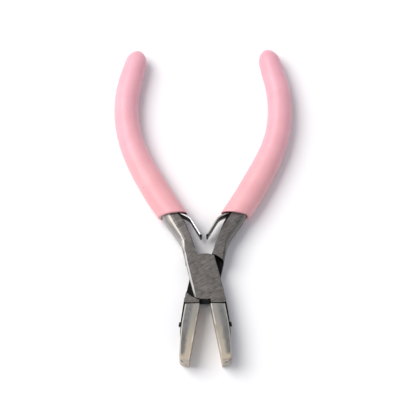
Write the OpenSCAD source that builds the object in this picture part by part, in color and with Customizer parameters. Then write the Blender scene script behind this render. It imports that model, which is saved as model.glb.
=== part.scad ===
// Flat-nose pliers with replaceable nylon jaws, a lap joint, two leaf springs and dipped grips.
// The origin is on the pivot axis, at the flat underside of the joint. +Y runs from the pivot
// towards the handles, +Z is up through the joint. Each half is drawn in the closed pose, with
// its handle on the left and its jaw on the right, and then turned about the pivot.

/* [Joint] */
// Thickness of the lap joint
joint_t = 8; // [7.6:0.1:8.4]
// Radius of the round end of each lap, about the pivot
lap_r = 9.9; // [9.7:0.1:10.1]
// Play between the round end of a lap and the other half's shoulder
shoulder_play = 0.4; // [0.3:0.05:0.5]
// Play between the two flat laps
lap_play = 0.1; // [0.06:0.02:0.2]
// Half width of the joint across the pivot
joint_half_w = 6.3; // [6.2:0.05:6.5]
// Chamfer along the handle's edge of the joint
edge_break = 0.7; // [0.5:0.1:0.8]
// Chamfer along the jaw's edge of the joint
jaw_edge_break = 0.25; // [0.2:0.05:0.4]
// Angle between the two jaw faces at rest
rest_open = 21; // [18:1:24]

/* [Pivot] */
// Radius of the pivot rivet's shaft
rivet_r = 2.5; // [2.2:0.1:2.8]
// Radial play of the rivet in the half that turns on it
rivet_play = 0.05; // [0.02:0.01:0.08]
// Radius of the rivet's flush heads
rivet_head_r = 3.5; // [3.2:0.1:3.8]
// Depth of the rivet's flush heads
rivet_head_h = 1; // [0.8:0.1:1.2]

/* [Handles] */
// Width of the steel handle where it leaves the joint
neck_w = 4.9; // [4.8:0.05:5]
// Width of the steel handle inside the grip
bar_w = 7.2; // [7:0.1:7.4]
// Thickness of the steel handle inside the grip
bar_t = 6.8; // [6.6:0.1:7]
// Length of steel handle that shows between the joint and the grip
bare_len = 18; // [17.5:0.1:18.5]

/* [Grips] */
// Length of a grip along its middle
grip_len = 80.4; // [79:0.2:82]
// Width of a grip at its open end
grip_w = 11.7; // [11.4:0.1:12]
// Thickness of a grip
grip_t = 10.6; // [10.4:0.1:10.8]

/* [Springs] */
// Width of a leaf spring
leaf_w = 5; // [4.4:0.1:5.2]
// Thickness of a leaf spring
leaf_t = 0.75; // [0.65:0.05:0.8]
// Length of a leaf that lies in its seat in the handle
leaf_seat = 12; // [10:0.5:13]

/* [Nylon jaws] */
// Distance from the pivot to the tips of the jaws
jaw_reach = 37.3; // [37:0.1:37.6]
// Thickness of a nylon jaw
nylon_t = 10.6; // [10.4:0.1:10.8]
// Width of a nylon jaw at its root
nylon_root_w = 5.85; // [5.8:0.05:5.9]
// Radius of the outer corner of a nylon tip
tip_r = 2; // [1.5:0.1:2.2]
// Height of the steel tongue inside a nylon jaw
tongue_t = 6; // [5.6:0.1:6.2]
// Distance from the pivot to the jaw screws
screw_y = 21.3; // [20.8:0.1:21.8]
// Radius of a jaw screw's head
screw_head_r = 1.15; // [1.1:0.05:1.3]

/* [Hidden] */
$fn = 64;
eps = 0.01;
mid_z = joint_t / 2;
turn = rest_open / 2;
shoulder_r = lap_r + shoulder_play;

steel = "gray";
black_steel = "dimgray";
bright_steel = "silver";
pink_vinyl = "lightpink";
cream_nylon = "antiquewhite";

// ---- outlines of the joint, in the closed pose, from the jaw end to the handle end

jaw_gap = 0.4;       // from the middle plane to the steel of the jaw
nylon_gap = 0.05;    // from the middle plane to the nylon face
inner_neck = 1.15;   // from the middle plane to the inner side of the neck
neck_top = 12.6;
outer_foot = -5.9;   // where the outer edge meets the round end of the lap
jaw_shoulder_w = joint_half_w + 0.3;
arc_steps = 12;
lap_hub_x = 0.5;     // the whole outline can be seen from here

// Height of the shoulder above the nylon, which runs square to the tool with the jaws at rest
function shoulder_y(x) = -11.6 - (x - jaw_gap) * tan(turn);

// Points on the round end of the lap, from x0 to x1, at the handle end or at the jaw end
function lap_arc(x0, x1, side) =
    let (a0 = acos(x0 / lap_r), a1 = acos(x1 / lap_r))
    [for (i = [0 : arc_steps]) let (a = a0 + (a1 - a0) * i / arc_steps)
        [lap_r * cos(a), side * lap_r * sin(a)]];

// Outline of the joint, with its handle edge moved in by c and its jaw edge by d
function lap_outline(c, d) = concat(
    [[jaw_gap, shoulder_y(jaw_gap)], [jaw_shoulder_w - d, shoulder_y(jaw_shoulder_w - d)],
     [joint_half_w + 0.2 - d, -8], [joint_half_w - 0.1 - d, 0]],
    lap_arc(joint_half_w - 0.6 - d, -inner_neck, 1),
    [[-1.65, neck_top], [-1.5 - neck_w + c, neck_top], [-1.55 - neck_w + c, 11.8],
     [-joint_half_w - 0.25 + c, 8],
     [-joint_half_w + c, 1]],
    lap_arc(outer_foot + c, jaw_gap, -1));

module lap() {
    c = edge_break;
    d = jaw_edge_break;
    levels = [[0, c, d], [d, c - d, 0], [c, 0, 0], [joint_t - c, 0, 0], [joint_t - d, c - d, 0],
              [joint_t, c, d]];
    loft([for (level = levels) [for (p = lap_outline(level[1], level[2])) [p.x, p.y, level[0]]]],
         [[lap_hub_x, 0, 0], [lap_hub_x, 0, joint_t]]);
}

// ---- the middle line of the handle: arcs and straights, each [length, heading at its end]
// A heading is the angle from +Y towards -X.

handle_start = [-4, 12];
handle_heading = 3;
stem_heading = 18.5;
handle_runs = [[9, stem_heading], [29.8, stem_heading], [10.7, 12.7], [35.2, -26.2],
               [16, -26.2]];
end_wall = 5;        // vinyl beyond the end of the handle
bar_len = bare_len + grip_len - end_wall;

// Displacement along a run that turns evenly from heading h0 to h1
function run_step(length, h0, h1) =
    abs(h1 - h0) < eps ? length * [-sin(h0), cos(h0)]
    : length / ((h1 - h0) * PI / 180) * [cos(h1) - cos(h0), sin(h1) - sin(h0)];

// [x, y, heading] at distance s along a list of runs
function along(runs, s, p, h, i = 0) =
    let (length = runs[i][0], h1 = runs[i][1])
    s <= length || i == len(runs) - 1
        ? let (hs = h + (h1 - h) * s / length, q = p + run_step(s, h, hs)) [q.x, q.y, hs]
        : along(runs, s - length, p + run_step(length, h, h1), h1, i + 1);

function handle_at(s) = along(handle_runs, s, handle_start, handle_heading);

// ---- lofted bars: a stack of rings with equal numbers of points

function corner(c, r, from, n) =
    [for (i = [0 : n]) let (a = from + 90 * i / n) [c[0] + r[0] * cos(a), c[1] + r[1] * sin(a)]];

// Section with its outer side at +u and its inner side at -u, n steps to each corner. The rounds
// are [across, in height], for the outer and inner corners on top and the inner and outer ones below.
function section(outer, inner, half_h, rounds, n) = concat(
    corner([outer - rounds[0][0], half_h - rounds[0][1]], rounds[0], 0, n),
    corner([-inner + rounds[1][0], half_h - rounds[1][1]], rounds[1], 90, n),
    corner([-inner + rounds[2][0], -half_h + rounds[2][1]], rounds[2], 180, n),
    corner([outer - rounds[3][0], -half_h + rounds[3][1]], rounds[3], 270, n));

// A section placed at [x, y, heading], at the middle height of the joint
function place(ring, at) =
    [for (p = ring) [at[0] - p[0] * cos(at[2]), at[1] - p[0] * sin(at[2]), mid_z + p[1]]];

function middle(ring) = [for (k = [0 : 2]) [for (p = ring) p[k]] * [for (p = ring) 1] / len(ring)];

// The solid through a stack of rings, closed by a fan about a hub at each end
module loft(rings, hubs = []) {
    n = len(rings[0]);
    top = len(rings) - 1;
    last = top * n;
    ends = len(hubs) > 0 ? hubs : [middle(rings[0]), middle(rings[top])];
    polyhedron(
        points = concat([for (ring = rings) each ring], ends),
        faces = concat(
            [for (i = [0 : n - 1]) [last + n, i, (i + 1) % n]],
            [for (i = [0 : n - 1]) [last + n + 1, last + (i + 1) % n, last + i]],
            [for (j = [0 : top - 1], i = [0 : n - 1])
                let (a = j * n + i, b = j * n + (i + 1) % n) [a, a + n, b]],
            [for (j = [0 : top - 1], i = [0 : n - 1])
                let (a = j * n + i, b = j * n + (i + 1) % n) [b, a + n, b + n]]));
}

// ---- the steel handle

handle_steps = 6;
bare_rings = 16;
hidden_rings = 22;

function bar_half_w(s) = lookup(s, [[0, neck_w / 2], [4.5, neck_w / 2 - 0.05], [9, 2.8],
    [bare_len - 3, bar_w / 2 - 0.1], [bare_len, bar_w / 2], [75, bar_w / 2], [96, 2.9]]);
function bar_half_h(s) = lookup(s, [[0, mid_z], [3, mid_z], [5.5, mid_z - 0.08],
    [bare_len - 2, bar_t / 2 + 0.05], [bare_len, bar_t / 2], [75, bar_t / 2], [96, 2.8]]);
// How far each corner of the handle is rounded, across the handle and in height
function outer_round(s) = [lookup(s, [[0, edge_break], [2.5, 0.9], [5.5, 2.2], [11, 3.1], [18, 4]]),
                           lookup(s, [[0, edge_break], [2.5, 0.8], [5.5, 2.4], [18, 3]])];
function inner_round(s) = let (r = lookup(s, [[0, 0.25], [13, 0.3], [bare_len, 1.5]])) [r, r];
function inner_under_round(s) =
    let (r = lookup(s, [[0, 0.25], [10.5, 0.3], [12, 0.9], [15, 1.6], [bare_len, 1.9]])) [r, r];
function under_round(s) = let (r = lookup(s, [[0, edge_break], [3, 0.8], [6, 1.5]])) [r, r];

function bar_ring(s) = place(section(bar_half_w(s), bar_half_w(s), bar_half_h(s),
    [outer_round(s), inner_round(s), inner_under_round(s), under_round(s)], handle_steps),
    handle_at(s));

module handle_bar() {
    loft(concat([for (i = [0 : bare_rings]) bar_ring(i * bare_len / bare_rings)],
                [for (i = [1 : hidden_rings])
                    bar_ring(bare_len + i * (bar_len - bare_len) / hidden_rings)]));
}

// ---- the steel tongue inside the nylon jaw

pad_t = 2.6;         // nylon between the tongue and the middle plane
tongue_back = [[6.75, -10.5], [6.5, -20], [5.85, -25.5], [4.95, -30], [3.3, -35]];

module tongue() {
    translate([0, 0, mid_z - tongue_t / 2]) linear_extrude(tongue_t) polygon(concat(tongue_back,
        [[pad_t, -35], [pad_t, tongue_back[0].y]]));
}

// ---- the leaf spring, from its root in the handle to its tip
// Its headings turn the other way: from -Y towards +X.

leaf_root_s = bare_len + 0.6;
leaf_len = 27.2;
seat_play = 0.05;
set_b = 2;           // extra bend that the second leaf has taken in use

leaf_lift = [1.9, 54];    // bend away from the handle: its length and the heading after it
leaf_slope = 2.9;         // straight between the two bends
leaf_knee = [2.8, 19];    // bend back towards the joint

function leaf_runs(set) = [[leaf_seat, stem_heading], leaf_lift, [leaf_slope, leaf_lift[1]],
                           [leaf_knee[0], leaf_knee[1] + set], [leaf_len, leaf_knee[1] + set]];

leaf_bend = let (at = handle_at(leaf_root_s), w = bar_half_w(leaf_root_s) - leaf_t / 2)
    [at[0] + w * cos(at[2]), at[1] + w * sin(at[2])];
leaf_start = leaf_bend + leaf_seat * [-sin(stem_heading), cos(stem_heading)];

function leaf_at(s, set = 0) =
    let (at = along(leaf_runs(set), s, [-leaf_start.x, -leaf_start.y], stem_heading))
    [-at[0], -at[1], at[2]];

leaf_stops = let (knee_s = leaf_seat + leaf_lift[0] + leaf_slope)
    concat([0, leaf_seat], [for (i = [1 : 4]) leaf_seat + leaf_lift[0] * i / 4],
           [for (i = [0 : 5]) knee_s + leaf_knee[0] * i / 5], [leaf_len]);

module leaf(set = 0) {
    half = leaf_t / 2;
    stops = [for (s = leaf_stops) leaf_at(s, set)];
    tip = leaf_at(leaf_len, set);
    difference() {
        translate([0, 0, mid_z - leaf_w / 2]) {
            linear_extrude(leaf_w) polygon(concat(
                [for (p = stops) [p[0] + half * cos(p[2]), p[1] + half * sin(p[2])]],
                [for (i = [len(stops) - 1 : -1 : 0]) let (p = stops[i])
                    [p[0] - half * cos(p[2]), p[1] - half * sin(p[2])]]));
            translate([tip[0], tip[1], 0]) cylinder(leaf_w, r = half + 0.1);
        }
        at_spring_rivet() translate([0, 0, -1]) cylinder(2, r = spring_rivet_r + seat_play,
            $fn = 32);
    }
}

// Seat milled into the inner side of the handle
module leaf_pocket() {
    depth = leaf_t + seat_play;
    pocket_run = 2.5;    // from the leaf's first bend towards the joint
    translate([leaf_bend.x, leaf_bend.y, mid_z - leaf_w / 2 - seat_play])
        rotate([0, 0, stem_heading])
        translate([-depth + leaf_t / 2, -pocket_run, 0])
        cube([depth + 1, leaf_seat + pocket_run + 0.4, leaf_w + 2 * seat_play]);
}

spring_rivet_r = 1.1;
spring_rivet_len = 3.4;

// Axis of the spring rivet, from the leaf into the handle
module at_spring_rivet() {
    p = leaf_at(leaf_seat / 2);
    translate([p[0], p[1], mid_z]) rotate([0, 0, stem_heading]) rotate([0, -90, 0]) children();
}

module spring_rivet() {
    head_r = 1.7;
    head_h = 0.35;
    at_spring_rivet() {
        translate([0, 0, -leaf_t / 2 - head_h]) cylinder(head_h, r = head_r, $fn = 32);
        translate([0, 0, -leaf_t / 2 - eps]) cylinder(spring_rivet_len, r = spring_rivet_r,
            $fn = 32);
    }
}

// ---- one half: lap, handle, jaw root and tongue

module half(bore_r) {
    difference() {
        union() {
            lap();
            handle_bar();
            tongue();
        }
        translate([0, 0, -1]) cylinder(1 + mid_z + lap_play / 2, r = shoulder_r, $fn = 180);
        translate([0, 0, -1]) cylinder(joint_t + 2, r = bore_r);
        translate([0, 0, joint_t - rivet_head_h])
            cylinder(rivet_head_h, bore_r, bore_r + rivet_head_r - rivet_r);
        leaf_pocket();
        at_spring_rivet() cylinder(spring_rivet_len, r = spring_rivet_r + seat_play, $fn = 32);
        jaw_screw_hole(screw_r + 0.05);
    }
}

module rivet() {
    rotate_extrude() polygon([[0, 0], [rivet_head_r, 0], [rivet_r, rivet_head_h],
        [rivet_r, joint_t - rivet_head_h], [rivet_head_r, joint_t], [0, joint_t]]);
}

// ---- the dipped grip

grip_steps = 5;
grip_ring_step = 3;
cap_len = 6;
cap_steps = 6;
rim_heading = -2;    // the open end is cut nearly square to the tool
rim_run = 14;        // over this length the rings turn square to the handle
wall_play = 0.1;
spring_room = 1.9;   // room for the leaf inside the mouth

function grip_half_w(g) = lookup(g, [[0, grip_w / 2], [20, grip_w / 2 - 0.1], [32, 5.4],
    [42, 5.25], [58, 5.15], [70, 4.9], [grip_len - cap_len, 4.55], [grip_len, 4.4]]);
function grip_half_h(g) = lookup(g, [[0, grip_t / 2], [50, grip_t / 2], [70, 4.7],
    [grip_len - cap_len, 4.35], [grip_len, 4.2]]);
function grip_shift(g) = lookup(g, [[0, 0.75], [5, 0.35], [10, 0.07], [14, 0]]);

// Middle of the grip at distance g from its mouth, with the heading of its ring there
function grip_at(g) = let (at = handle_at(bare_len + g), k = min(1, g / rim_run),
                           shift = grip_shift(g))
    [at[0] + shift * cos(at[2]), at[1] + shift * sin(at[2]),
     rim_heading + (at[2] - rim_heading) * k];

function grip_ring(g, part = 1) =
    let (skew = cos(handle_at(bare_len + g)[2] - grip_at(g)[2]),
         w = grip_half_w(g) * part / skew, h = grip_half_h(g) * part)
    place(section(w, w, h, [for (i = [0 : 3]) [w, h] * 0.97], grip_steps), grip_at(g));

// Hollow of the grip: the handle with a little play, wider at the mouth for the leaf spring
function hollow_ring(g) =
    let (s = bare_len + g, at = grip_at(g), k = min(1, g / rim_run),
         skew = cos(handle_at(s)[2] - at[2]), room = spring_room * (1 - k),
         w_out = (bar_half_w(s) + wall_play + grip_shift(g)) / skew,
         w_in = (bar_half_w(s) + wall_play - grip_shift(g) + room) / skew,
         h = bar_half_h(s) + wall_play, r = inner_round(s) * (1 + room / 4))
    place(section(w_out, w_in, h, [outer_round(s), r, r, under_round(s)], grip_steps), at);

module grip() {
    deep = grip_len - end_wall + wall_play;
    inside = ceil(deep / (2 * grip_ring_step));
    body = grip_len - cap_len;
    outside = ceil(body / grip_ring_step);
    loft(concat(
        [for (i = [inside : -1 : 0]) hollow_ring(deep * i / inside)],
        [for (i = [0 : outside]) grip_ring(body * i / outside)],
        [for (i = [1 : cap_steps]) let (a = 84 * i / cap_steps)
            grip_ring(body + cap_len * sin(a), pow(cos(a), 0.75))]));
}

// ---- the nylon jaw and its screw

screw_r = 0.8;
tip_back = [[5.82, -21], [5.6, -25], [5.15, -29.5]];

nylon_break = 0.5;   // bevel along the back and the tip of the nylon
corner_x = 4.4;      // outermost point of the tip's end
shoulder_gap = 0.85; // between the steel shoulder and the nylon

// Outline of the nylon with its back and tip moved in by b
function nylon_outline(b) = concat(
    [[nylon_gap, shoulder_y(nylon_gap) - shoulder_gap], [nylon_gap, b - jaw_reach]],
    [for (i = [0 : 6]) let (a = -90 + 80 * i / 6, r = tip_r - b)
        [corner_x - tip_r + r * cos(a), tip_r - jaw_reach + r * sin(a)]],
    [for (i = [2 : -1 : 0]) tip_back[i] - [b, 0]],
    [[nylon_root_w - b, shoulder_y(nylon_root_w) - shoulder_gap]]);

module nylon_body() {
    low = mid_z - nylon_t / 2;
    high = mid_z + nylon_t / 2;
    levels = [[low, nylon_break], [low + nylon_break, 0], [high - nylon_break, 0],
              [high, nylon_break]];
    loft([for (level = levels) [for (p = nylon_outline(level[1])) [p.x, p.y, level[0]]]]);
}

module jaw_screw_hole(r) {
    translate([1.2, -screw_y, mid_z]) rotate([0, 90, 0]) cylinder(8, r = r, $fn = 32);
}

module nylon_jaw() {
    difference() {
        nylon_body();
        translate([0, 0, mid_z - tongue_t / 2 - 0.03]) linear_extrude(tongue_t + 0.06)
            polygon(concat([[8, -10], [8, -20]], [for (i = [2 : 4]) tongue_back[i] + [0.03, 0]],
                [[3.3, -35.05], [pad_t - 0.03, -35.05], [pad_t - 0.03, -10]]));
        jaw_screw_hole(screw_r);
    }
}

module jaw_screw() {
    head_x = 6.5;
    head_h = 0.65;
    translate([head_x, -screw_y, mid_z]) rotate([0, 90, 0]) difference() {
        union() {
            translate([0, 0, -4.6]) cylinder(4.6 + eps, r = screw_r - 0.02, $fn = 32);
            cylinder(head_h * 0.5, r = screw_head_r);
            translate([0, 0, head_h * 0.5])
                cylinder(head_h * 0.5, screw_head_r, screw_head_r * 0.7);
        }
        for (a = [45, 135]) rotate([0, 0, a]) translate([-0.8, -0.15, head_h - 0.45])
            cube([1.6, 0.3, 1]);
    }
}

// ---- the two halves at rest: the second is the first turned over

module pose_a() {
    rotate([0, 0, turn]) children();
}

module pose_b() {
    translate([0, 0, joint_t]) rotate([0, 180, 0]) rotate([0, 0, turn]) children();
}

module half_a() color(steel) pose_a() half(rivet_r);
module half_b() color(steel) pose_b() half(rivet_r + rivet_play);
module pivot_rivet() color(bright_steel) pose_a() rivet();
module grip_a() color(pink_vinyl) pose_a() grip();
module grip_b() color(pink_vinyl) pose_b() grip();
module leaf_spring_a() color(bright_steel) pose_a() leaf();
module leaf_spring_b() color(bright_steel) pose_b() leaf(set_b);
module spring_rivet_a() color(black_steel) pose_a() spring_rivet();
module spring_rivet_b() color(black_steel) pose_b() spring_rivet();
module nylon_jaw_a() color(cream_nylon) pose_a() nylon_jaw();
module nylon_jaw_b() color(cream_nylon) pose_b() nylon_jaw();
module jaw_screw_a() color(black_steel) pose_a() jaw_screw();
module jaw_screw_b() color(black_steel) pose_b() jaw_screw();

half_a();
half_b();
pivot_rivet();
grip_a();
grip_b();
leaf_spring_a();
leaf_spring_b();
spring_rivet_a();
spring_rivet_b();
nylon_jaw_a();
nylon_jaw_b();
jaw_screw_a();
jaw_screw_b();
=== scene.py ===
"""Nylon-jaw pliers on a white table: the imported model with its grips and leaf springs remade."""
from math import cos, pi, radians, sin

import bpy
from mathutils import Matrix, Vector


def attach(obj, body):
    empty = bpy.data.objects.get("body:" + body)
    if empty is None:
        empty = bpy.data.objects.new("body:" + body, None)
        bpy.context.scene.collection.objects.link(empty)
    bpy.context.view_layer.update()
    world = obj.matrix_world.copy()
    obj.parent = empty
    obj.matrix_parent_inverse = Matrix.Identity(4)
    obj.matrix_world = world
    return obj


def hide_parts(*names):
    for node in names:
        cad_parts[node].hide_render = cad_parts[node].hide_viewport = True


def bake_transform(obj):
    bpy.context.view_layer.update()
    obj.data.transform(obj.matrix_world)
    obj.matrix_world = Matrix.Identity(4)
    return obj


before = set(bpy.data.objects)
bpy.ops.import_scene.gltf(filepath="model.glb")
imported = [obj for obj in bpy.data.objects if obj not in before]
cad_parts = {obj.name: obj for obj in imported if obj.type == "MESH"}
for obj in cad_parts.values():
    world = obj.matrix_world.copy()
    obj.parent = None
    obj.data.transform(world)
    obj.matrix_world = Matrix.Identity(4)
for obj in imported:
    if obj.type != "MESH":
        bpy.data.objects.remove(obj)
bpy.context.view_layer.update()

# ---- sizes in millimetres and degrees; the sizes of the tool itself repeat part.scad

MM = 0.001
JOINT_T = 8.0
MID_Z = JOINT_T / 2
TURN = 10.5  # each half's turn from the closed drawing to the rest pose
LAP_R = 9.9
TONGUE_X = 2.6  # where the steel tongue begins, from the middle plane
FLOOR_Z = -1.3

# the steel bar of a handle: runs of (length, heading at the end) and its half width by distance
NECK_W, BAR_W, BAR_T, BARE_LEN = 4.9, 7.2, 6.8, 18.0
HANDLE_START, HANDLE_HEADING, STEM = (-4.0, 12.0), 3.0, 18.5
HANDLE_RUNS = [(9, STEM), (29.8, STEM), (10.7, 12.7), (35.2, -26.2), (16, -26.2)]
BAR_HALF_W = [
    (0, NECK_W / 2), (4.5, NECK_W / 2 - 0.05), (9, 2.8), (BARE_LEN - 3, BAR_W / 2 - 0.1),
    (BARE_LEN, BAR_W / 2),
]

# the grip outside: half width, half height and sideways shift by distance from its rim
GRIP_LEN, GRIP_W, GRIP_T = 80.4, 11.7, 10.6
CAP_LEN = 6.0
BODY_LEN = GRIP_LEN - CAP_LEN
GRIP_HALF_W = [
    (0, GRIP_W / 2), (20, GRIP_W / 2 - 0.1), (32, 5.4), (42, 5.25), (58, 5.15), (70, 4.9),
    (BODY_LEN, 4.55), (GRIP_LEN, 4.4),
]
GRIP_HALF_H = [(0, GRIP_T / 2), (50, GRIP_T / 2), (70, 4.7), (BODY_LEN, 4.35), (GRIP_LEN, 4.2)]
GRIP_SHIFT = [(0, 0.75), (5, 0.35), (10, 0.07), (14, 0)]
GRIP_FIT = 0.995  # keeps the remade grip just inside its CAD solid
GRIP_ROUNDNESS = 0.97  # corner radius as a share of the half width and half height
CAP_TRIM, CAP_SWEEP, CAP_POWER = 0.08, 88, 1.2
LIP, LIP_POWER = 0.55, 0.6

# the hollow inside the grip's mouth
RIM_HEADING, RIM_RUN, SPRING_ROOM, WALL_PLAY = -2.0, 14.0, 1.9, 0.1
HOLLOW_DEPTH = 16.0
HOLLOW_OUTER_ROUND, HOLLOW_CORNER = (3.4, 3.0), 1.5

# the leaf springs; the bends are runs of (length, heading at the end) past the seat
LEAF_W, LEAF_T, LEAF_SEAT, LEAF_LEN = 5.0, 0.75, 12.0, 27.2
LEAF_LIFT, LEAF_SLOPE, LEAF_KNEE, LEAF_TAIL = (1.9, 54), (2.9, 54), (2.8, 19), 9
LEAF_ROUND = 0.12
LEAF_START = BARE_LEN + 0.6
CURL_PLAY, CURL_FROM, CURL_SWEEP = 0.1, -1.0, pi / 2 + 0.98
LEAF_BENT = (("a", 0), ("b", 2))  # degrees more at the knee than in LEAF_KNEE

# how finely the remade pieces are cut
CORNER_STEPS, LEAF_CORNER_STEPS = 14, 3
HOLLOW_STEPS, LIP_STEPS, BODY_STEPS, CAP_STEPS = 16, 8, 96, 14
LEAF_STEPS, LEAF_STRAIGHT_STOPS, CURL_STEPS = 90, 86, 11
WELD = 1e-6  # in metres

# edge rounding of the CAD nodes and the angle below which faces shade as one
STEEL_BEVEL, NYLON_BEVEL = 0.07, 0.16
EDGE_ANGLE, LEAF_EDGE_ANGLE = 30, 50

# ---- the middle line of a handle, in the closed drawing


def run_step(length, h0, h1):
    """The step along an arc of this length whose heading goes from h0 to h1 degrees."""
    a, b = radians(h0), radians(h1)
    if abs(b - a) < 1e-4:
        return Vector((-sin(a), cos(a))) * length
    return Vector((cos(b) - cos(a), sin(b) - sin(a))) * (length / (b - a))


def along(runs, s, start, heading):
    """Point and heading at distance s along runs of (length, heading at the end)."""
    p = Vector(start)
    for i, (length, h1) in enumerate(runs):
        if s <= length or i == len(runs) - 1:
            hs = heading + (h1 - heading) * s / length
            return p + run_step(s, heading, hs), hs
        p += run_step(length, heading, h1)
        s -= length
        heading = h1


def handle_at(s):
    return along(HANDLE_RUNS, s, HANDLE_START, HANDLE_HEADING)


def table(x, rows):
    """The value at x in rows of (x, value), straight between rows and level outside them."""
    if x <= rows[0][0]:
        return rows[0][1]
    for (x0, y0), (x1, y1) in zip(rows, rows[1:]):
        if x <= x1:
            return y0 + (y1 - y0) * (x - x0) / (x1 - x0)
    return rows[-1][1]


def eased(x, rows, reach=3.0):
    """The table's value at x, with its corners rounded over the reach."""
    return sum(table(x + reach * k / 3, rows) for k in range(-3, 4)) / 7


# ---- sections and lofts


def corner_points(cx, cz, rx, rz, start, n):
    """A quarter ellipse about (cx, cz), from the start angle on."""
    turns = [radians(start + 90 * i / n) for i in range(n + 1)]
    return [(cx + rx * cos(t), cz + rz * sin(t)) for t in turns]


def section(outer, inner, half_h, r_outer, r_inner, r_under, n):
    """A closed outline with rounded corners: outer top, inner top, inner below, outer below."""
    return (corner_points(outer - r_outer[0], half_h - r_outer[1], *r_outer, 0, n)
            + corner_points(-inner + r_inner[0], half_h - r_inner[1], *r_inner, 90, n)
            + corner_points(-inner + r_inner[0], -half_h + r_inner[1], *r_inner, 180, n)
            + corner_points(outer - r_under[0], -half_h + r_under[1], *r_under, 270, n))


def place(ring, p, heading):
    """The outline stood across the middle line at p."""
    c, s = cos(radians(heading)), sin(radians(heading))
    return [Vector((p[0] - u * c, p[1] - u * s, MID_Z + v)) for u, v in ring]


def at_rest(p, half):
    """A point of the closed drawing, in millimetres, at rest on half a or b, in metres."""
    t = radians(TURN)
    x, y, z = p[0] * cos(t) - p[1] * sin(t), p[0] * sin(t) + p[1] * cos(t), p[2]
    if half == "b":
        x, z = -x, JOINT_T - z
    return Vector((x, y, z)) * MM


def loft(name, rings, half):
    """A closed smooth mesh through rings of the closed drawing, with a fan over each end."""
    n = len(rings[0])
    points = [at_rest(p, half) for ring in rings for p in ring]
    faces = [[j * n + i, (j + 1) * n + i, (j + 1) * n + (i + 1) % n, j * n + (i + 1) % n]
             for j in range(len(rings) - 1) for i in range(n)]
    for start in (0, (len(rings) - 1) * n):
        hub = len(points)
        points.append(sum((points[start + i] for i in range(n)), Vector()) / n)
        faces += [[hub, start + i, start + (i + 1) % n] if start == 0
                  else [hub, start + (i + 1) % n, start + i] for i in range(n)]
    mesh = bpy.data.meshes.new(name)
    mesh.from_pydata(points, [], faces)
    mesh.update()
    piece = bpy.data.objects.new(name, mesh)
    bpy.context.scene.collection.objects.link(piece)
    for polygon in mesh.polygons:
        polygon.use_smooth = True
    weld(piece)
    return piece


def weld(piece):
    piece.modifiers.new("weld", "WELD").merge_threshold = WELD


def smooth_by_angle(piece, angle):
    bpy.context.view_layer.objects.active = piece
    piece.select_set(True)
    bpy.ops.object.shade_auto_smooth(use_auto_smooth=True, angle=radians(angle))
    piece.select_set(False)


# ---- node helpers


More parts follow.
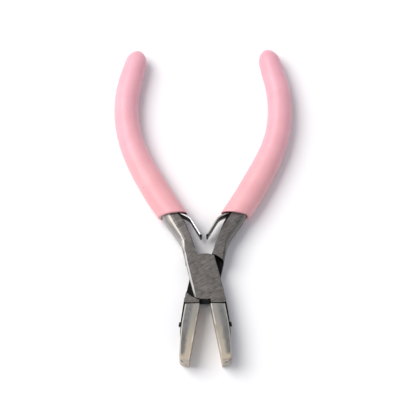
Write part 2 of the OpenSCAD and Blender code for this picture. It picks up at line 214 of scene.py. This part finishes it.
class Nodes:
    """Builds one material's node tree with short calls; a mask is a value from 0 to 1."""

    def __init__(self, name):
        self.material = bpy.data.materials.new(name)
        self.material.use_nodes = True
        self.tree = self.material.node_tree
        self.shader = self.tree.nodes["Principled BSDF"]
        self.coords = self.new("ShaderNodeTexCoord")

    def new(self, kind, **settings):
        made = self.tree.nodes.new(kind)
        for key, value in settings.items():
            setattr(made, key, value)
        return made

    def link(self, source, target):
        self.tree.links.new(source, target)

    def put(self, socket, value):
        if isinstance(value, bpy.types.NodeSocket):
            self.link(value, socket)
        else:
            socket.default_value = value

    def surface(self, settings):
        """Links or sets the shader's inputs by name and returns the material."""
        for name, value in settings.items():
            self.put(self.shader.inputs[name], value)
        return self.material

    def math(self, operation, a, b=0.0):
        made = self.new("ShaderNodeMath", operation=operation)
        self.put(made.inputs[0], a)
        self.put(made.inputs[1], b)
        return made.outputs[0]

    def size(self, value):
        return self.math("ABSOLUTE", value)

    def distance(self, a, b):
        return self.size(self.math("SUBTRACT", a, b))

    def length(self, a, b):
        return self.math("SQRT", self.math("ADD", self.both(a, a), self.both(b, b)))

    def either(self, *masks):
        """The largest of the masks."""
        found = masks[0]
        for mask in masks[1:]:
            found = self.math("MAXIMUM", found, mask)
        return found

    def both(self, *masks):
        """The product of the masks."""
        found = masks[0]
        for mask in masks[1:]:
            found = self.math("MULTIPLY", found, mask)
        return found

    def weighted(self, *terms):
        """The sum of values times their weights."""
        found = None
        for value, weight in reversed(terms):
            part = self.math("MULTIPLY", value, weight)
            found = part if found is None else self.math("ADD", part, found)
        return found

    def ramp(self, value, low, high):
        """0 below low and 1 above high, with an eased step between; high may be the lower one."""
        made = self.new("ShaderNodeMapRange", interpolation_type="SMOOTHSTEP")
        self.put(made.inputs["Value"], value)
        flip = low > high
        made.inputs["From Min"].default_value = high if flip else low
        made.inputs["From Max"].default_value = low if flip else high
        made.inputs["To Min"].default_value = 1.0 if flip else 0.0
        made.inputs["To Max"].default_value = 0.0 if flip else 1.0
        return made.outputs["Result"]

    def mapping(self, vector, scale=(1, 1, 1), rotation=(0, 0, 0), location=(0, 0, 0), kind="POINT"):
        made = self.new("ShaderNodeMapping", vector_type=kind)
        self.link(vector, made.inputs["Vector"])
        made.inputs["Scale"].default_value = scale
        made.inputs["Rotation"].default_value = rotation
        if kind == "POINT":
            made.inputs["Location"].default_value = location
        return made.outputs["Vector"]

    def millimetres(self):
        """The object's own coordinates in millimetres."""
        return self.mapping(self.coords.outputs["Object"], (1 / MM,) * 3)

    def closed(self, half, kind="POINT"):
        """Coordinates or normals in the closed drawing of a half; coordinates in millimetres."""
        source = self.coords.outputs["Object" if kind == "POINT" else "Normal"]
        scale = 1 / MM if kind == "POINT" else 1.0
        turned = (0, 0 if half == "a" else pi, -radians(TURN))
        shift = (0, 0, 0 if half == "a" else JOINT_T)
        return self.mapping(source, (scale,) * 3, turned, shift, kind)

    def split(self, vector):
        made = self.new("ShaderNodeSeparateXYZ")
        self.link(vector, made.inputs[0])
        return made.outputs[0], made.outputs[1], made.outputs[2]

    def noise(self, vector, scale, detail=3.0, roughness=0.55):
        made = self.new("ShaderNodeTexNoise")
        self.link(vector, made.inputs["Vector"])
        made.inputs["Scale"].default_value = scale
        made.inputs["Detail"].default_value = detail
        made.inputs["Roughness"].default_value = roughness
        return made.outputs["Fac"]

    def specks(self, vector, cells_per_unit, fade, skipped):
        """A mask of round specks, fading out over the fade; the skipped share of cells has none."""
        cells = self.new("ShaderNodeTexVoronoi", feature="F1")
        self.link(self.mapping(vector, (cells_per_unit,) * 3), cells.inputs["Vector"])
        cells.inputs["Scale"].default_value = 1.0
        dots = self.ramp(cells.outputs["Distance"], *reversed(fade))
        kept = self.math("GREATER_THAN", self.split(cells.outputs["Color"])[0], skipped)
        return self.both(dots, kept)

    def mix(self, factor, a, b, way="MIX"):
        """A colour between a and b."""
        made = self.new("ShaderNodeMix", data_type="RGBA", blend_type=way)
        self.put(made.inputs[0], factor)
        self.put(made.inputs[6], (*a, 1) if isinstance(a, tuple) else a)
        self.put(made.inputs[7], (*b, 1) if isinstance(b, tuple) else b)
        return made.outputs[2]

    def tint(self, factor, colour, shade):
        """The colour, multiplied by the shade where the factor is 1."""
        return self.mix(factor, colour, self.mix(1.0, colour, shade, "MULTIPLY"))

    def blend(self, factor, a, b):
        """A number between a and b."""
        made = self.new("ShaderNodeMix", data_type="FLOAT")
        self.put(made.inputs[0], factor)
        self.put(made.inputs[2], a)
        self.put(made.inputs[3], b)
        return made.outputs[0]

    def bump(self, height, strength, distance):
        """Bump of this strength; the distance is in millimetres."""
        made = self.new("ShaderNodeBump")
        self.link(height, made.inputs["Height"])
        made.inputs["Strength"].default_value = strength
        made.inputs["Distance"].default_value = distance * MM
        self.link(made.outputs["Normal"], self.shader.inputs["Normal"])


# ---- materials: colours are linear, places are millimetres in the closed drawing

GROUND, GROUND_DARK = (0.175, 0.163, 0.154), (0.08, 0.074, 0.07)
POLISHED, POLISHED_DARK = (0.28, 0.265, 0.245), (0.19, 0.178, 0.163)
# painted reflection on the steep outer side of the handles: lighter on half a, which faces the
# lamps, darker on half b
SIDE_PAINTED_LIGHT = {"a": (0.4, 0.385, 0.365), "b": (0.2, 0.19, 0.178)}
BRIGHT_EDGE = (0.62, 0.6, 0.575)
BLACK_OXIDE = (0.012, 0.0115, 0.012)
GROUND_ROUGH, POLISHED_ROUGH, EDGE_ROUGH, BLACK_ROUGH = (0.5, 0.4), (0.33, 0.45), 0.42, 0.5
STREAK_TURN = {"a": -16.5, "b": 37.5}  # direction of the grinding marks
STREAK_STRETCH = (0.2, 2.4, 1.0)
HANDLE_FROM, JAW_FROM, TONGUE_FROM = (12.5, 15.5), (-10.2, -10.6), (-12.4, -12.6)
EDGE_UNTIL = (19.0, 15.0)
BLACK_FROM = {"a": (26.0, 28.0), "b": (19.0, 22.0)}  # on the inner side of the handles


def steel(half):
    """Ground flats, polished handle edges, a painted reflection on the steep outer side of each
    handle and black oxide where the grinding didn't reach.
    """
    n = Nodes("steel_" + half)
    p = n.closed(half)
    x, y, z = n.split(p)
    nx, _, nz = n.split(n.closed(half, "NORMAL"))
    flat = n.ramp(n.size(nz), 0.94, 0.985)
    steep = n.ramp(n.size(nz), 0.5, 0.3)

    lap_floor = n.both(n.ramp(n.distance(z, MID_Z), 0.5, 0.4), flat)
    lap_end = n.both(steep, n.ramp(n.distance(n.length(x, y), LAP_R + 0.2), 0.5, 0.4))
    inner_side = n.both(n.ramp(nx, 0.08, 0.2), n.ramp(y, *BLACK_FROM[half]))
    jaw_side = n.both(n.ramp(y, *JAW_FROM), steep)
    black = n.either(lap_floor, lap_end, inner_side, jaw_side, n.ramp(y, *TONGUE_FROM))
    edge = n.both(n.ramp(nx, -0.35, -0.5), n.ramp(nz, 0.3, 0.5), n.ramp(y, *EDGE_UNTIL))
    outer_side = n.both(n.ramp(nx, -0.14, -0.26), n.math("SUBTRACT", 1.0, inner_side))
    polished = n.both(n.ramp(y, *HANDLE_FROM), outer_side)
    side_painted_light = n.both(polished, n.ramp(nx, -0.42, -0.68))

    turned = n.mapping(p, rotation=(0, 0, radians(STREAK_TURN[half])))
    streaks = n.noise(n.mapping(turned, STREAK_STRETCH), 1.0, 5.0, 0.65)
    mottle = n.noise(p, 0.5, 4.0, 0.6)
    grain = n.noise(p, 5.0, 3.0)
    worn = n.weighted((streaks, 0.55), (mottle, 0.25), (grain, 0.2))
    bright = n.ramp(worn, 0.4, 0.6)
    ground = n.mix(bright, GROUND_DARK, GROUND)
    colour = n.mix(polished, ground, n.mix(bright, POLISHED_DARK, POLISHED))
    # painted reflection: the steep outer side lighter on half a than on half b
    colour = n.mix(side_painted_light, colour, SIDE_PAINTED_LIGHT[half])
    colour = n.mix(edge, colour, BRIGHT_EDGE)
    colour = n.mix(black, colour, BLACK_OXIDE)

    ground_rough = n.blend(n.ramp(worn, 0.3, 0.7), *GROUND_ROUGH)
    polished_rough = n.blend(n.ramp(worn, 0.35, 0.65), *POLISHED_ROUGH)
    rough = n.blend(edge, n.blend(polished, ground_rough, polished_rough), EDGE_ROUGH)
    rough = n.blend(black, rough, BLACK_ROUGH)
    n.bump(n.weighted((streaks, 0.7), (grain, 0.3)), 0.25, 0.03)
    return n.surface({"Base Color": colour, "Metallic": 1.0, "Roughness": rough})


STRIP_FACE, STRIP_FACE_DARK = (0.03, 0.029, 0.028), (0.012, 0.012, 0.012)
# painted shade: the curled tip of each leaf is coloured black past the distance on the next line
TIP_PAINTED_SHADE = (0.003, 0.003, 0.003)
TIP_PAINTED_SHADE_FROM = (18.9, 18.6)  # in the rest pose
# painted light and shade on the cut edges: bright on leaf a, darker on leaf b
CUT_EDGE_PAINTED_LIGHT = {"a": (0.8, 0.79, 0.77), "b": (0.34, 0.335, 0.3)}
STRIP_ROUGH, CUT_EDGE_ROUGH = (0.28, 0.4), 0.3


def bright_strip(half):
    """Rolled spring strip: dark wide faces, cut edges with painted light, bright on leaf a and
    darker on leaf b, and a tip painted black as shade.
    """
    n = Nodes("spring_strip_" + half)
    p = n.millimetres()
    edge = n.ramp(n.size(n.split(n.coords.outputs["Normal"])[2]), 0.4, 0.8)
    scuffs = n.noise(p, 1.6, 4.0, 0.6)
    face = n.mix(n.ramp(scuffs, 0.4, 0.65), STRIP_FACE_DARK, STRIP_FACE)
    # painted light: the cut edges bright on leaf a, darker on leaf b
    colour = n.mix(edge, face, CUT_EDGE_PAINTED_LIGHT[half])
    # painted shade: the curled tip coloured black
    colour = n.mix(n.ramp(n.split(p)[1], *TIP_PAINTED_SHADE_FROM), colour, TIP_PAINTED_SHADE)
    rough = n.blend(edge, n.blend(scuffs, *STRIP_ROUGH), CUT_EDGE_ROUGH)
    n.bump(n.noise(p, 12.0, 2.0), 0.15, 0.02)
    return n.surface({"Base Color": colour, "Metallic": 1.0, "Roughness": rough})


PINK, PINK_DEEP, SPECK = (0.84, 0.435, 0.48), (0.8, 0.40, 0.445), (0.3, 0.12, 0.13)
RIM_TINT, RIM_REACH = (1.0, 0.99, 0.94), (60.0, 34.0)  # warmer towards the rim, in the rest pose
TIP_TINT, TIP_REACH = (0.985, 0.975, 1.01), (50.0, 90.0)  # cooler towards the tip
SPECKS_PER_MM, SPECK_FADE, SPECKS_SKIPPED = 0.24, (0.045, 0.075), 0.72
VINYL_ROUGH = (0.33, 0.47)
SHEEN_TINT = (0.85, 0.85, 1.0, 1)


def vinyl():
    """Dipped pink vinyl: satin, a little cloudy, with a few specks and pits."""
    n = Nodes("dipped_vinyl")
    p = n.millimetres()
    y = n.split(p)[1]
    colour = n.mix(n.ramp(n.noise(p, 0.11, 3.0, 0.5), 0.3, 0.7), PINK_DEEP, PINK)
    colour = n.tint(n.ramp(y, *RIM_REACH), colour, RIM_TINT)
    colour = n.tint(n.ramp(y, *TIP_REACH), colour, TIP_TINT)
    speck = n.specks(p, SPECKS_PER_MM, SPECK_FADE, SPECKS_SKIPPED)
    colour = n.mix(n.math("MULTIPLY", speck, 0.7), colour, SPECK)
    pits = n.math("SUBTRACT", n.noise(p, 0.8, 3.0, 0.5), n.math("MULTIPLY", speck, 0.9))
    n.bump(pits, 0.12, 0.12)
    return n.surface({
        "Base Color": colour,
        "Roughness": n.blend(n.noise(p, 0.5, 2.0), *VINYL_ROUGH),
        "Subsurface Weight": 0.25,
        "Subsurface Radius": (1.0, 0.45, 0.4),
        "Subsurface Scale": 0.0012,
        "Specular IOR Level": 0.45,
        "Sheen Weight": 0.12,
        "Sheen Roughness": 0.4,
        "Sheen Tint": SHEEN_TINT,
    })


JAW_TIP_Y, JAW_ROOT_Y = -36.0, -14.0  # the colours run from just short of the tip to the root
CREAM_TIP, CREAM_ROOT = (0.46, 0.395, 0.30), (0.26, 0.247, 0.222)
GREY_TIP, GREY_ROOT, GREY_BLOTCH = (0.11, 0.107, 0.098), (0.17, 0.171, 0.17), (0.085, 0.087, 0.084)
# painted highlights: the rounded-edge and inner-edge colours stand in for highlights along the
# nylon's edges
# painted light: the gripping-face colour stands in for light through the pad
MILK, PAD_FACE_PAINTED_LIGHT, EDGE_PAINTED_HIGHLIGHT = (0.45, 0.42, 0.37), (0.45, 0.375, 0.28), (0.42, 0.4, 0.36)
INNER_EDGE_PAINTED_HIGHLIGHT, CHIP = (0.62, 0.59, 0.53), (0.025, 0.014, 0.006)
NYLON_ROUGH, NYLON_DEPTH = (0.3, 0.45), 0.45
# Chips in the end of a nylon jaw: x, z and the two half widths.
CHIPS = {
    "a": [(1.8, 5.6, 0.85, 0.9), (3.5, 7.0, 0.75, 1.2), (3.6, 3.2, 0.3, 0.6)],
    "b": [(3.1, 1.6, 0.7, 1.4), (1.4, 6.0, 0.25, 0.6)],
}


def nylon(half):
    """Milky nylon: grey over the steel tongue inside it, cream in the pad and at the tip, with
    painted light on the gripping face and painted highlights along the edges.
    """
    n = Nodes("nylon_" + half)
    p = n.closed(half)
    x, y, z = n.split(p)
    nx, _, nz = n.split(n.closed(half, "NORMAL"))
    slope = n.size(nz)
    haze = n.noise(p, 0.35, 3.0, 0.5)
    wobble = n.math("MULTIPLY", n.math("SUBTRACT", haze, 0.5), 2.2)
    over_tongue = n.ramp(n.math("ADD", x, wobble), TONGUE_X - 0.9, TONGUE_X + 1.0)
    short_of_tip = n.ramp(n.math("ADD", y, wobble), JAW_TIP_Y, JAW_TIP_Y + 2.2)
    tongue = n.both(over_tongue, short_of_tip, n.ramp(n.distance(z, MID_Z), 0.5, 3.0))
    cream = n.mix(n.ramp(y, JAW_TIP_Y, JAW_ROOT_Y), CREAM_TIP, CREAM_ROOT)
    grey = n.mix(n.ramp(y, JAW_TIP_Y + 2, JAW_ROOT_Y), GREY_TIP, GREY_ROOT)
    blotch = n.ramp(n.noise(n.mapping(p, (1, 0.6, 1)), 0.45, 3.0, 0.6), 0.45, 0.62)
    grey = n.mix(n.math("MULTIPLY", blotch, 0.55), grey, GREY_BLOTCH)
    colour = n.mix(tongue, cream, grey)
    colour = n.mix(n.math("MULTIPLY", n.ramp(haze, 0.35, 0.7), 0.15), colour, MILK)

    # painted light: the gripping face lightened as if lit through the milky pad
    colour = n.mix(n.ramp(nx, -0.7, -0.9), colour, PAD_FACE_PAINTED_LIGHT)
    # painted highlight along the rounded edges
    rounded = n.both(n.ramp(slope, 0.2, 0.4), n.ramp(slope, 0.97, 0.9), n.ramp(y, -35.8, -35.4))
    colour = n.mix(rounded, colour, EDGE_PAINTED_HIGHLIGHT)
    # painted highlight along the inner top edge, broken up by noise
    highlight_gaps = n.ramp(n.noise(p, 0.12, 2.0), 0.42, 0.58)
    inner_edge = n.both(n.ramp(x, 0.55, 0.4), n.ramp(slope, 0.7, 0.9), highlight_gaps)
    colour = n.mix(inner_edge, colour, INNER_EDGE_PAINTED_HIGHLIGHT)

    ragged = n.noise(p, 2.2, 3.0, 0.6)
    chips = 0.0
    for x0, z0, rx, rz in CHIPS[half]:
        across = n.math("DIVIDE", n.math("SUBTRACT", x, x0), rx)
        down = n.math("DIVIDE", n.math("SUBTRACT", z, z0), rz)
        away = n.length(across, down)
        chips = n.either(n.ramp(n.math("ADD", away, ragged), 1.6, 1.35), chips)
    chips = n.both(chips, n.ramp(y, -34.6, -35.0), n.ramp(slope, 0.9, 0.7))
    n.bump(n.noise(p, 3.0, 3.0), 0.15, 0.04)
    return n.surface({
        "Base Color": n.mix(chips, colour, CHIP),
        "Roughness": n.blend(haze, *NYLON_ROUGH),
        "Subsurface Weight": n.blend(chips, NYLON_DEPTH, 0.0),
        "Subsurface Radius": (1.0, 0.8, 0.6),
        "Subsurface Scale": 0.0015,
    })


SCREW_BLACK, SCREW_RUBBED = (0.02, 0.02, 0.021), (0.07, 0.068, 0.066)
SCREW_ROUGH = (0.34, 0.26)


def black_steel():
    """Blackened screws and rivets, rubbed in places."""
    n = Nodes("black_steel")
    p = n.millimetres()
    rubbed = n.ramp(n.noise(p, 2.5, 4.0, 0.6), 0.55, 0.75)
    n.bump(n.noise(p, 10.0, 2.0), 0.2, 0.02)
    return n.surface({
        "Base Color": n.mix(rubbed, SCREW_BLACK, SCREW_RUBBED),
        "Metallic": 1.0,
        "Roughness": n.blend(rubbed, *SCREW_ROUGH),
    })


TABLE_WHITE, TABLE_SHADE = (0.95, 0.95, 0.95), (0.93, 0.93, 0.935)


def table_white():
    """The matt white surface under the tool."""
    n = Nodes("table_white")
    return n.surface({
        "Base Color": n.mix(n.noise(n.millimetres(), 0.05, 2.0), TABLE_SHADE, TABLE_WHITE),
        "Roughness": 0.9,
        "Specular IOR Level": 0.1,
    })


steels = {half: steel(half) for half in "ab"}
nylons = {half: nylon(half) for half in "ab"}
screw_steel = black_steel()
strips = {half: bright_strip(half) for half in "ab"}
pink = vinyl()

# ---- the CAD nodes that keep their shape


def finish_node(name, material, edge=0.0):
    """Gives a CAD node its material and, with an edge width, small rounded edges."""
    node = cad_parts[name]
    node.data.materials.clear()
    node.data.materials.append(material)
    weld(node)
    if edge:
        bevel = node.modifiers.new("edges", "BEVEL")
        bevel.limit_method = "ANGLE"
        bevel.angle_limit = radians(EDGE_ANGLE)
        bevel.width = edge * MM
        bevel.segments = 2
        bevel.use_clamp_overlap = True
    smooth_by_angle(node, EDGE_ANGLE)


for half in "ab":
    finish_node("half_" + half, steels[half], STEEL_BEVEL)
    finish_node("nylon_jaw_" + half, nylons[half], NYLON_BEVEL)
    finish_node("jaw_screw_" + half, screw_steel)
    finish_node("spring_rivet_" + half, screw_steel)
finish_node("pivot_rivet", steels["a"])

# ---- dipped grips


def rim_share(g):
    """0 at the rim, 1 from the end of its run on."""
    return min(1, max(0, g) / RIM_RUN)


def grip_at(g):
    """Middle point, ring heading and handle heading at distance g from the rim."""
    p, heading = handle_at(BARE_LEN + g)
    c, s = cos(radians(heading)), sin(radians(heading))
    shift = table(g, GRIP_SHIFT)
    ring_heading = RIM_HEADING + (heading - RIM_HEADING) * rim_share(g)
    return (p[0] + shift * c, p[1] + shift * s), ring_heading, heading


def grip_ring(g, part=1.0):
    """The grip's outside, shrunk to a part of its size for the cap."""
    p, ring_heading, heading = grip_at(g)
    skew = cos(radians(heading - ring_heading))
    w = eased(g, GRIP_HALF_W) * GRIP_FIT * part / skew
    h = eased(g, GRIP_HALF_H) * part
    r = (w * GRIP_ROUNDNESS, h * GRIP_ROUNDNESS)
    return place(section(w, w, h, r, r, r, CORNER_STEPS), p, ring_heading)


def hollow_ring(g):
    """The hollow round the bar, with room for the leaf spring on the inner side."""
    p, ring_heading, heading = grip_at(g)
    bar = table(BARE_LEN + g, BAR_HALF_W)
    shift = table(g, GRIP_SHIFT)
    skew = cos(radians(heading - ring_heading))
    room = SPRING_ROOM * (1 - rim_share(g))
    w_out = (bar + WALL_PLAY + shift) / skew
    w_in = (bar + WALL_PLAY - shift + room) / skew
    h = BAR_T / 2 + WALL_PLAY
    inner = HOLLOW_CORNER * (1 + room / 4)
    rounds = (HOLLOW_OUTER_ROUND, (inner, inner), (HOLLOW_CORNER, HOLLOW_CORNER))
    return place(section(w_out, w_in, h, *rounds, CORNER_STEPS), p, ring_heading)


def mixed(a, b, t):
    return [p.lerp(q, t) for p, q in zip(a, b)]


def grip(name, half):
    """One closed skin: out of the hollow, over the lip, along the outside and over the cap."""
    rings = [hollow_ring(HOLLOW_DEPTH * (1 - i / HOLLOW_STEPS)) for i in range(HOLLOW_STEPS)]
    for i in range(LIP_STEPS + 1):
        a = pi * i / LIP_STEPS
        g = LIP * (1 - sin(a) ** LIP_POWER)
        rings.append(mixed(hollow_ring(g), grip_ring(g), (1 - cos(a)) / 2))
    for i in range(1, BODY_STEPS + 1):
        rings.append(grip_ring(LIP + (BODY_LEN - LIP) * i / BODY_STEPS))
    for i in range(1, CAP_STEPS + 1):
        a = radians(CAP_SWEEP * i / CAP_STEPS)
        rings.append(grip_ring(BODY_LEN + (CAP_LEN - CAP_TRIM) * sin(a), cos(a) ** CAP_POWER))
    piece = loft(name, rings, half)
    piece.data.materials.append(pink)
    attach(piece, f"half_{half}_body")
    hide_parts("grip_" + half)


# ---- leaf springs


def leaf_at(s, bent):
    """Point and heading at distance s along a leaf, from its riveted end."""
    knee = LEAF_KNEE[1] + bent
    runs = [(LEAF_SEAT, STEM), LEAF_LIFT, LEAF_SLOPE, (LEAF_KNEE[0], knee), (LEAF_TAIL, knee)]
    p, heading = handle_at(LEAF_START)
    w = BAR_W / 2 - LEAF_T / 2
    bend = Vector((p[0] + w * cos(radians(heading)), p[1] + w * sin(radians(heading))))
    start = bend + LEAF_SEAT * Vector((-sin(radians(STEM)), cos(radians(STEM))))
    q, heading = along(runs, s, (-start[0], -start[1]), STEM)
    return Vector((-q[0], -q[1])), heading


def leaf(name, half, bent):
    """A strip along the leaf's line with a small curl at the tip."""
    stops = [(LEAF_LEN * i / LEAF_STEPS, LEAF_T / 2) for i in range(LEAF_STRAIGHT_STOPS)]
    curl = LEAF_T / 2 + CURL_PLAY
    for i in range(CURL_STEPS + 1):
        a = CURL_FROM + CURL_SWEEP * i / CURL_STEPS
        stops.append((LEAF_LEN + curl * sin(a), curl * cos(a)))
    rings = []
    for s, half_t in stops:
        p, heading = leaf_at(s, bent)
        r = (min(LEAF_ROUND, half_t * 0.5),) * 2
        ring = section(half_t, half_t, LEAF_W / 2, r, r, r, LEAF_CORNER_STEPS)
        rings.append(place(ring, p, heading))
    piece = loft(name, rings, half)
    smooth_by_angle(piece, LEAF_EDGE_ANGLE)
    piece.data.materials.append(strips[half])
    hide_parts("leaf_spring_" + half)
    root = at_rest((*leaf_at(LEAF_SEAT, bent)[0], MID_Z), half)
    tip = at_rest((*leaf_at(LEAF_LEN, bent)[0], MID_Z), half)
    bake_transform(piece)


for half, bent in LEAF_BENT:
    grip("dipped_grip_" + half, half)
    leaf("leaf_" + half, half, bent)

# ---- table, light and camera

TABLE_SIZE = 3.0
LIGHT_AIM = Vector((0, 0.03, 0))
SKY_COLOUR, SKY_STRENGTH = (0.92, 0.925, 1.0, 1), 0.53
VIEW_TILT, VIEW_ROLL, VIEW_DISTANCE = 19.0, -0.54, 1.0
LENS, SENSOR, CLIP_START = 207.04, 36.0, 0.05
VIEW_AIM = Vector((0.000912, 0.031284, 0.005))

bpy.ops.mesh.primitive_plane_add(size=TABLE_SIZE, location=(0, 0, FLOOR_Z * MM))
floor = bpy.context.object
floor.name = "table"
floor.data.materials.append(table_white())


def softbox(name, direction, distance, size, power, colour):
    """A rectangular lamp at a distance in the direction from the aim, facing it."""
    light = bpy.data.lights.new(name, "AREA")
    light.shape = "RECTANGLE"
    light.size, light.size_y = size
    light.energy = power
    light.color = colour
    lamp = bpy.data.objects.new(name, light)
    bpy.context.scene.collection.objects.link(lamp)
    out = Vector(direction).normalized()
    lamp.location = LIGHT_AIM + out * distance
    lamp.rotation_euler = out.to_track_quat("Z", "Y").to_euler()


softbox("key", (-0.53, 0.24, 0.815), 1.8, (1.3, 1.3), 30.0, (1.0, 0.985, 0.965))
softbox("left_strip", (-0.94, 0.3, 0.16), 0.8, (0.5, 0.16), 0.45, (0.98, 0.98, 1.0))
world = bpy.data.worlds.new("studio")
bpy.context.scene.world = world
world.use_nodes = True
sky = world.node_tree.nodes["Background"]
sky.inputs["Color"].default_value = SKY_COLOUR
sky.inputs["Strength"].default_value = SKY_STRENGTH

camera_data = bpy.data.cameras.new("camera")
camera_data.lens = LENS
camera_data.sensor_width = SENSOR
camera_data.clip_start = CLIP_START
camera = bpy.data.objects.new("camera", camera_data)
bpy.context.scene.collection.objects.link(camera)
back = Vector((0, -sin(radians(VIEW_TILT)), cos(radians(VIEW_TILT))))
tilt = Matrix.Rotation(radians(VIEW_TILT), 4, "X")
stand = Matrix.Translation(VIEW_AIM + back * VIEW_DISTANCE) @ tilt
camera.matrix_world = Matrix.Rotation(radians(VIEW_ROLL), 4, "Z") @ stand
bpy.context.scene.camera = camera
bpy.context.scene.view_settings.view_transform = "Standard"
